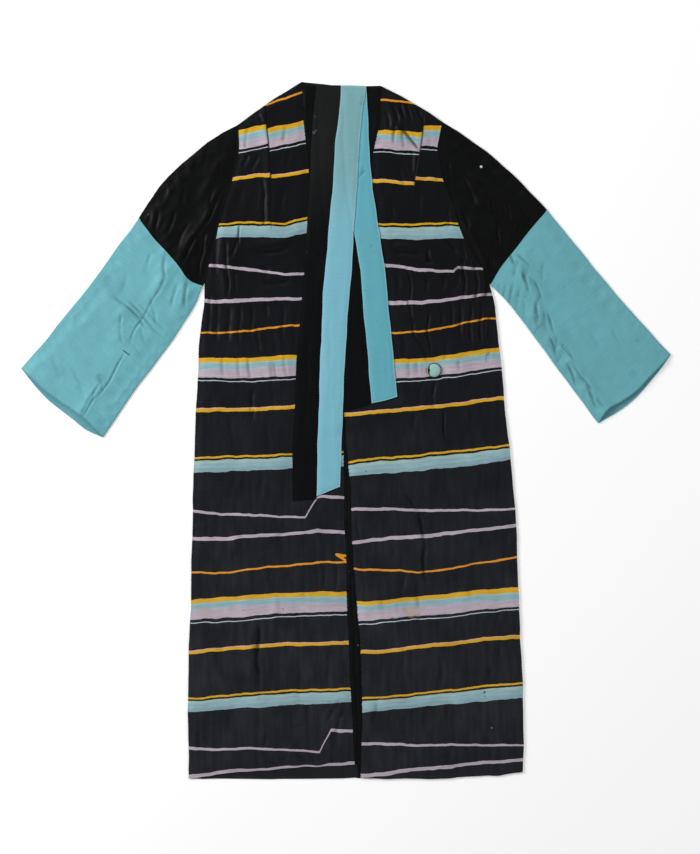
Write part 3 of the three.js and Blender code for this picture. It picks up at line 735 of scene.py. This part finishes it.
# Tuck lines as photo pixels down from the shoulder, and how far the stripes outside a tuck
# sit above those inside it at some heights.
left_front = front_panel(
    -1, ((264, 100), (267, 125), (269.3, 152), (270.4, 175), (270.8, 199), (271, 235)),
    ((100, 0), (127, 4.5), (150, 4.5), (177, 1.0), (200, 0)),
    left_lines, left_stripes, ((682, 306, 12, 22.5), (1102, 320, 11, 24.5)),
)
right_front = front_panel(
    1, ((426, 100), (423, 127), (420, 152.7), (415, 179.5), (413, 200)),
    ((100, 2), (127, 6), (152, 6), (182, 5.6), (186, 5.6), (198, 0)),
    right_lines, right_stripes, ((262, 453, 5, 4.5),),
)

# Front bands
# Narrow strips of black silk crepe sewn along both front edges and round the neck. Down the
# robe their folded edges meet; the seam that joins each to its front is stitched by hand.
crepe_marks = ((315, 117, 2.2, "#45484a", 0.5), (314, 133, 3.4, "#55585a", 0.6),
               (316, 131, 2.4, "#4a4d50", 0.7), (358, 645, 1.2, "#8a8c8e", 0.8),
               (362, 679, 2.0, "#3a3c3e", 0.7), (349, 571, 2.0, "#34363a", 0.6))


def crepe_colour(tree, place):
    """Black, paler where the cloth has faded at the neck."""
    faded = add(tree, "ShaderNodeAttribute", attribute_name="faded")
    black = add(tree, "ShaderNodeMix", {0: faded.outputs["Fac"], 6: linear("#08090a"),
                                        7: linear("#191a1a")}, data_type="RGBA")
    return black.outputs[2]


# Silk crepe, woven of twisted thread: matt and deep black, with few slubs.
crepe = silk("black_crepe", 0.5, 0.08, crepe_colour, crepe_marks, haze=(0.002, 0.002),
             slubs=0.1, rumpled=0.5)

for name in ("left", "right"):
    form = cloth_form(f"band_{name}", 8, 12)
    points = points_of(form)
    x, y, z = points.T
    rim = away_from(points, outline_of(form))
    pressed = away_from_nodes(points, "scarf_black", "scarf_turquoise")
    swell = 1.2 * ease(rim / 5) + 0.25 * rumples(x, y, 22, 1.0, 1.6, 21) * ease(rim / 3)
    raise_points(form, np.maximum(swell, -0.1) * ease((pressed - 1) / PRESSED))
    paint_threads(form, x, y)
    band = lay(f"front_band_{name}", form, (crepe,), f"band_{name}")

# Sleeves
# Flat tubes of cloth set into the armholes: black satin to the elbow, then turquoise silk
# to an open cuff, where the upper layer falls short of the under layer.
sleeve_creases = (
    # left, black
    (225, 186, 196, 240, -2.6, 5), (198, 232, 180, 266, -2.2, 5),
    (214, 204, 190, 242, 1.3, 6), (196, 156, 198, 174, -1.2, 4),
    (206, 146, 205, 170, -1.2, 4), (183, 185, 182, 206, -1.3, 4),
    (174, 208, 168, 238, -1.5, 4.5), (158, 205, 154, 233, -1.4, 4.5),
    (189, 220, 177, 250, -1.3, 4), (210, 223, 198, 264, -1.4, 5),
    (206, 240, 196, 280, -2.2, 5), (213, 188, 208, 216, -1, 4),
    (168, 184, 160, 206, -1, 4), (222, 160, 220, 184, -0.9, 4),
    (230, 140, 229, 160, -0.8, 4), (150, 210, 147, 226, -0.9, 4),
    # left, turquoise
    (166, 248, 164, 281, -1.5, 4), (164, 276, 154, 298, -1.5, 4),
    (185, 270, 184.5, 315, -1.6, 4), (176, 282, 171, 308, -1.2, 4),
    (110, 294, 141, 320, -1.6, 2.8), (116, 298, 152, 332, -1.8, 2.8),
    (124, 298, 167, 340, -1.8, 3), (138, 304, 170, 332, -1.5, 2.8),
    (160, 285, 128, 350, -1.3, 2.6), (126, 350, 98, 400, -1.3, 2.6),
    (98, 396, 82, 418, -1.5, 2.6),
    (121, 312, 123, 347, -1.5, 3.2), (150, 294, 158, 327, -1, 3.2),
    (143, 328, 146, 346, -1, 3.2), (100, 381, 93, 399, -1.2, 3.2),
    (94, 395, 81, 415, -1.2, 3.2), (97, 372, 105, 394, -1, 3.2),
    (132, 346, 145, 364, -0.9, 2.8), (152, 250, 146, 275, -0.8, 4),
    (60, 340, 110, 395, 0.7, 10), (104, 298, 60, 352, 0.6, 11),
    (70, 362, 88, 402, -0.6, 5), (50, 352, 62, 384, -0.5, 5),
    (128, 270, 120, 296, -0.6, 5),
    (232, 150, 196, 206, 1.6, 12), (206, 140, 172, 190, 1.4, 11),
    (176, 176, 156, 214, 1.2, 9), (226, 196, 204, 252, 1.4, 9),
    # right, black
    (452, 150, 486, 214, 1.6, 12), (476, 140, 512, 196, 1.4, 12),
    (500, 165, 530, 205, 1.2, 10), (470, 200, 492, 250, 1.4, 9),
    (475, 177, 488, 202, -1.5, 5), (488, 198, 494, 221, -1.5, 5),
    (494, 217, 501, 250, -1.5, 5), (458, 209, 471, 229, -1.4, 4.5),
    (471, 225, 488, 252, -1.4, 4.5), (488, 248, 490, 275, -1.4, 4.5),
    (517, 201, 524, 223, -1.4, 4.5), (513, 221, 510, 242, -1.2, 4),
    (463, 174, 476, 206, -1.1, 4), (449, 158, 452, 188, -0.9, 4),
    (478, 234, 487, 264, -1.2, 4), (505, 198, 508, 228, -1.1, 5),
    (530, 213, 520, 236, -1, 4), (470, 148, 480, 170, -0.9, 5),
    (460, 140, 464, 160, -0.8, 5),
    # right, turquoise
    (530, 263, 522, 287, -1.5, 4), (540, 293, 533, 320, -1.4, 3.5),
    (533, 316, 540, 332, -1.4, 3.5), (559, 333, 553, 352, -1.2, 3.5),
    (572, 363, 583, 384, -1.3, 3.5), (583, 380, 596, 401, -1.3, 3.5),
    (596, 397, 606, 411, -1.2, 3.5), (505, 281, 500, 305, -1.5, 3),
    (512, 279, 507, 311, -1.5, 3), (519, 285, 514, 318, -1.4, 3),
    (498, 282, 496, 298, -1.2, 3), (526, 294, 522, 324, -1.2, 3),
    (543, 308, 547, 332, -1.1, 3), (548, 342, 560, 364, -1, 3),
    (520, 260, 512, 279, -1.1, 3.5), (545, 260, 540, 282, -0.9, 4),
    (506, 246, 516, 268, -1.8, 3.5), (516, 254, 533, 270, -1.6, 3.2),
    (521, 270, 528, 298, -1.9, 3.5), (532, 280, 543, 303, -1.7, 3.2),
    (535, 300, 538, 326, -1.8, 3.5), (546, 310, 557, 335, -1.7, 3.2),
    (551, 334, 555, 356, -1.8, 3.5), (560, 342, 576, 362, -1.7, 3.2),
    (566, 360, 574, 386, -1.7, 3.5), (578, 374, 593, 391, -1.6, 3.2),
    (588, 388, 597, 409, -1.6, 3.2), (526, 262, 522, 284, -1.4, 3.2),
    (545, 322, 533, 338, -1.4, 3), (562, 352, 552, 368, -1.3, 3),
    (515, 262, 545, 318, 1.4, 7), (548, 330, 580, 378, 1.2, 7),
    (590, 328, 600, 352, -0.6, 5), (612, 328, 622, 354, -0.6, 5),
    (580, 280, 610, 330, 0.6, 11), (560, 300, 592, 352, 0.5, 11),
)
SEAM_HIGH, UPPER_FROM = 1.35, 1.42  # heights of a sleeve's folded edge and upper layer
SLEEVE_RUMPLES = ((0.2, 26, 1.2, 1.2, 33), (0.3, 70, 1.3, 1.3, 34))
SLEEVE_HELD = 19.0  # creases die out this far from a fold or seam
CUFF_OWN, CUFF_CLEAR = 140, 160  # edges nearer the cuff's middle are its mouth
CUFF_LIFT, LIFT_WIDE = 1.8, 22  # the mouth stands open, and eases down inwards
RIM_DARK, RIM_WIDE = 0.6, 1.3  # painted shade shows its turned edge as a thin dark line
INSIDE_DARK, INSIDE_WIDE = 0.3, 25  # and the inside lies in shade

satin_marks = ((481, 167, 2.6, "#d8dadc", 1.0), (148.5, 214.5, 2.6, "#3c3e40", 0.7))
# Silk satin: the deepest black of the robe, with soft lights along its creases and painted
# shade in their deepest parts.
satin = silk("black_silk_satin", 0.5, 0.10, "#08090a", satin_marks, slubs=0.1, rumpled=0.5,
             crease_shade=0.9)

turquoise_marks = tuple(  # a short slit first, then soft stains, and painted shade of a broad fold
    (123.2 + 0.8 * k, 350.2 + 0.6 * k, 1.5 - 0.1 * abs(k - 4), "#1d3336", 0.85)
    for k in range(9)
) + (
    (538, 272, 1.8, "#477e88", 0.6), (564, 286.5, 2.4, "#5a97a2", 0.6),
    (548, 362, 3.0, "#4f8d97", 0.5), (637, 341, 5.0, "#5390a0", 0.35),
    # Painted shade: the first two marks here are the dark cloudy shade of a broad fold high on
    # the left sleeve.
    (105, 281, 16, "#63a3ae", 0.45), (115, 288, 22, "#639fad", 0.4),
    (60, 371, 14, "#619fab", 0.4), (100, 378, 10, "#5a98a2", 0.5),
    (632, 374, 9, "#569aa6", 0.4), (560, 305, 30, "#6bb4c0", 0.3),
)
# Plain-woven turquoise silk: thin and dry, so each wrinkle shows a dark and a light side, the
# dark side deepened by painted shade.
turquoise = silk("turquoise_plain_silk", 0.5, 0.2, "#6db0ba", turquoise_marks, slubs=0.12,
                 rumpled=0.45, mottle=0.1, crease_shade=0.55)

# Each sleeve stretch: its node, material, slot, middle of its cuff, flat size and area.
sleeves = {}
for name, node, material, slot, cuff, cut, area in (
    ("upper_sleeve_left", "sleeve_upper_left", satin, "black_satin", None,
     (0.36, 0.28), 0.051),
    ("upper_sleeve_right", "sleeve_upper_right", satin, "black_satin", None,
     (0.36, 0.28), 0.051),
    ("lower_sleeve_left", "sleeve_lower_left", turquoise, "turquoise_silk", (62, 403),
     (0.39, 0.37), 0.114),
    ("lower_sleeve_right", "sleeve_lower_right", turquoise, "turquoise_silk", (635, 389),
     (0.38, 0.37), 0.108),
):
    form = cloth_form(node, 9, 16, above=UPPER_FROM, under_cells=2)
    points = points_of(form)
    x, y, z = points.T
    outline = outline_of(form)
    from_cuff = np.full_like(x, FAR)
    if cuff:
        mouth = Vector((*from_photo(*cuff), 0))
        ends = [p for p in outline if (p - mouth).length < CUFF_OWN]
        from_cuff = away_from(points, ends)
        outline = [p for p in outline if (p - mouth).length > CUFF_CLEAR]
    folds = [p for p in points if abs(p[2] - SEAM_HIGH) < 0.12]
    rim = away_from(points, outline + [Vector(p) for p in folds])
    upper = ease((z - UPPER_FROM) / 0.1)
    loose = LIFT + sum(high * rumples(x, y, *how) for high, *how in SLEEVE_RUMPLES)
    creased, depth = crease_height(x, y, sleeve_creases)
    height = loose + creased + CUFF_LIFT * np.exp(-from_cuff / LIFT_WIDE)
    raise_points(form, np.maximum(height, -0.1) * upper * ease(rim / SLEEVE_HELD))
    # Painted shade: in the creases of the upper layer, along the cuff's turned edge, and
    # inside the cuff.
    rim_line = RIM_DARK * upper * np.exp(-(from_cuff / RIM_WIDE) ** 2)
    inside = INSIDE_DARK * (1 - upper) * np.exp(-(from_cuff / INSIDE_WIDE) ** 2)
    paint(form, "crease", np.clip(depth * upper + rim_line + inside, 0, 1))
    paint_threads(form, x, y, math.radians(-38 if "left" in name else 40))
    sleeves[name] = lay(name, form, (material,), node)

# Seams
# Black silk thread. The armholes and the elbows are closed by turned seams, which show as
# narrow cords, and the bands are sewn to the fronts by hand, in small slanting stitches.
ARMHOLE_CORD = (1.2, 0.7, 0.2, 5.0)  # half its width and height, how far it is sunk,
ELBOW_CORD = (0.8, 0.5, 0.1, 4.0)  # and the step along it, in millimetres
CORD_SIDES = 8
SEAM_REACH, SEAM_OUT = 2.2, 0.15  # an edge this near another piece is a seam
STITCH_LONG, STITCH_LEAN, STITCH_RISE = 4.0, 0.9, 0.25
STITCH_STEP, STITCH_THICK = 7.0, 0.35
UNDER_SCARF = 4  # no stitch shows nearer the scarf than this
ROUND = 180  # no edge of a cord is sharp

# Twisted silk thread: matt and black, seen only where it stands up.
twine = silk("black_silk_thread", 0.6, 0.08, "#0a0b0c", slubs=0.1)


def seam_path(piece, node, side, step):
    """Top of the piece's edge where it meets another solid, from its foot up."""
    corners = np.array([v.co for v in piece.data.vertices]) / MM
    edge = corners[away_from_nodes(corners, node) < SEAM_REACH]
    path = []
    for level in np.arange(edge[:, 1].min() + step / 2, edge[:, 1].max(), step):
        near = edge[abs(edge[:, 1] - level) < step / 2]
        if len(near):
            outermost = near[(near[:, 0] * side).argmax()]
            path.append((outermost[0] + side * SEAM_OUT, outermost[1], near[:, 2].max()))
    return path


def sweep(form, path, thickness, height):
    """Adds a round-sided cord that follows the path and tapers at its ends."""
    rings = []
    for k, point in enumerate(path):
        before, after = Vector(path[max(k - 1, 0)]), Vector(path[min(k + 1, len(path) - 1)])
        run = (after - before).normalized()
        aside = Vector((run.y, -run.x, 0)).normalized()
        slim = 0.4 if k in (0, len(path) - 1) else 1.0
        rings.append([form.verts.new((Vector(point) + aside * thickness * slim * math.cos(turn)
                                      + Vector((0, 0, height * slim * math.sin(turn)))) * MM)
                      for turn in (2 * math.pi * j / CORD_SIDES for j in range(CORD_SIDES))])
    for lower, upper in zip(rings, rings[1:]):
        for j in range(CORD_SIDES):
            beside = (j + 1) % CORD_SIDES
            form.faces.new((lower[j], lower[beside], upper[beside], upper[j]))
    form.faces.new(rings[0][::-1])
    form.faces.new(rings[-1])


def sewn(name, form):
    """Makes a piece of thread, with its faces outwards."""
    bmesh.ops.recalc_face_normals(form, faces=form.faces)
    lay(name, form, (twine,), fold=ROUND)


for front, label, side in ((left_front, "left", -1), (right_front, "right", 1)):
    for seam, piece, outer, (wide, high, sunk, step) in (
        ("armhole_seam", front, side, ARMHOLE_CORD),
        ("elbow_seam", sleeves[f"lower_sleeve_{label}"], -side, ELBOW_CORD),
    ):
        form = bmesh.new()
        path = seam_path(piece, f"sleeve_upper_{label}", outer, step)
        sweep(form, [(px, py, pz - sunk) for px, py, pz in path], wide, high)
        sewn(f"{seam}_{label}", form)
    form = bmesh.new()
    line = seam_path(front, f"band_{label}", -side, STITCH_STEP)
    covered = away_from_nodes(line, "scarf_black", "scarf_turquoise")
    for (px, py, pz), gap in zip(line, covered):
        if gap > UNDER_SCARF:
            ends = ((px - STITCH_LEAN, py - STITCH_LONG / 2, pz), (px, py, pz + STITCH_RISE),
                    (px + STITCH_LEAN, py + STITCH_LONG / 2, pz))
            sweep(form, ends, STITCH_THICK, STITCH_THICK)
    sewn(f"band_stitches_{label}", form)

# Scarf
# A long strip of black and a long strip of turquoise silk crepe, sewn side by side and
# folded in half at the neck. Both ends fall down the front, the left end over the right.
blue_marks = ((371, 246, 3.2, "#4d97a6", 0.5), (374, 252, 2.2, "#4d97a6", 0.5),
              (366, 291, 1.6, "#438c9b", 0.6), (361, 104, 4.0, "#5f9ba2", 0.6),
              (340, 250, 5.0, "#8fb9b8", 0.5), (377, 321, 1.6, "#438c9b", 0.5),
              (364.5, 170.5, 2.6, "#5a9fae", 0.6))


def scarf_colour(tree, place):
    """Turquoise, faded at the neck, deeper on the under end and with a painted highlight along
    its edges.
    """
    colour = linear("#7cbbcc")
    for layer, dye in (("faded", "#7babb1"), ("under_end", "#63adbc"),
                       ("edge_highlight", "#a9d6dd")):
        amount = add(tree, "ShaderNodeAttribute", attribute_name=layer)
        mixed = add(tree, "ShaderNodeMix", {0: amount.outputs["Fac"], 6: colour,
                                            7: linear(dye)}, data_type="RGBA")
        colour = mixed.outputs[2]
    return colour


# Turquoise silk crepe: matt and even, with hardly a wrinkle.
scarf_blue = silk("turquoise_crepe", 0.58, 0.2, scarf_colour, blue_marks, slubs=0.1,
                  rumpled=0.2, mottle=0.05)

# Middle of each end of the scarf, as photo pixels, from the neck down.
over_middle = ((353.5, 86), (350, 145), (345, 190), (342.6, 229), (337.5, 285), (332, 328),
               (328, 378), (325.3, 431), (325, 500))
under_middle = ((353.5, 86), (356, 130), (359.5, 190), (365.4, 223), (373.7, 280),
                (378.3, 328), (386, 411))
scarf_creases = (
    (356, 179, 368.5, 169, -1.8, 3), (361, 177, 366, 165, -1.4, 2.6),
    (342, 96, 337, 150, 0.5, 3), (330, 300, 329, 420, -0.3, 4),
    (384, 330, 388, 392, -0.3, 4), (308, 330, 306, 440, -0.4, 4),
    (318, 100, 314, 160, -0.4, 3), (336, 390, 333, 470, 0.3, 4),
)
STACKED_BELOW = 4.35  # the under end's upper face is lower than this
NECK_FOLD = 598  # the scarf turns over at this height of the robe
FADED_FROM, FADED_OVER = 330, 160  # and is faded from here up to the fold

for name, node, material, slot in (
    ("scarf_strip_black", "scarf_black", crepe, "black_silk"),
    ("scarf_strip_turquoise", "scarf_turquoise", scarf_blue, "turquoise_scarf"),
):
    form = cloth_form(node, 9, 6, under_cells=8)
    points = points_of(form)
    x, y, z = points.T
    rim = away_from(points, outline_of(form))
    swell = 0.5 * ease(rim / 8)
    swell += 0.14 * (1.4 + rumples(x, y, 24, 1.0, 1.6, 44)) * ease(rim / 6)
    creased, depth = crease_height(x, y, scarf_creases)
    swell = np.maximum(swell + creased * ease(rim / 4), 0)
    raise_points(form, swell * ease((NECK_FOLD - y) / 12))
    from_over, from_under = (
        np.abs(x - np.interp(-y, [-from_photo(0, py)[1] for px, py in middle],
                             [from_photo(px, 0)[0] for px, py in middle]))
        for middle in (over_middle, under_middle))
    stacked = (z < STACKED_BELOW) & (y < NECK_FOLD - 6)
    paint(form, "under_end", stacked & (from_under < from_over))
    paint(form, "faded", ease((y - FADED_FROM) / FADED_OVER))
    # Painted highlight along the pressed edges of the strips.
    paint(form, "edge_highlight", 0.5 * np.exp(-(rim / 1.3) ** 2))
    # Painted shade in the scarf's creases.
    paint(form, "crease", depth)
    paint_threads(form, x, y)
    strip = lay(name, form, (material,), node)

# Button
# A domed mould covered in pale mint silk, drawn in underneath, on the right front.
BUTTON_SHIFT = -2.0  # the button sags towards its loop
# Pale mint silk drawn tight: smooth, with one soft light on its dome.
mint = silk("mint_silk", 0.5, 0.3, "#9cc5be", slubs=0.1, rumpled=0.2)

button_form = cloth_form("button", 3, 0)
bmesh.ops.translate(button_form, verts=button_form.verts, vec=(BUTTON_SHIFT * MM, 0, 0))
base = points_of(button_form)[:, 2].min()
middle_x, middle_y = points_of(button_form)[:, :2].mean(axis=0)
lay("covered_button", button_form, (mint,), "button")

# Button loop
# A loop of black silk cord laid round the button, thick and drawn over its left side, where it
# also stands in for the shadow that the button casts.
LOOP_STEPS, LOOP_SIDES = 48, 10
LOOP_SIZES = (  # on the right, and how much more on the left
    (12.2, -3.4),  # radius of the loop, in millimetres
    (0.7, 1.8), (0.7, 0.9),  # half the cord's width and height
    (1.0, 2.3),  # height above the cloth
)
loop_form = bmesh.new()
loop_rings = []
for k in range(LOOP_STEPS):
    turn = 2 * math.pi * k / LOOP_STEPS
    over = max(0.0, -math.cos(turn)) ** 2
    ring, wide, high, level = (least + more * over for least, more in LOOP_SIZES)
    loop_rings.append([loop_form.verts.new(Vector((
        middle_x + (ring + wide * math.cos(around)) * math.cos(turn),
        middle_y + (ring + wide * math.cos(around)) * math.sin(turn),
        base + level + high * math.sin(around))) * MM)
        for around in (2 * math.pi * j / LOOP_SIDES for j in range(LOOP_SIDES))])
for here, there in zip(loop_rings, loop_rings[1:] + loop_rings[:1]):
    for j in range(LOOP_SIDES):
        beside = (j + 1) % LOOP_SIDES
        loop_form.faces.new((here[j], there[j], there[beside], here[beside]))
sewn("button_loop_and_shadow", loop_form)
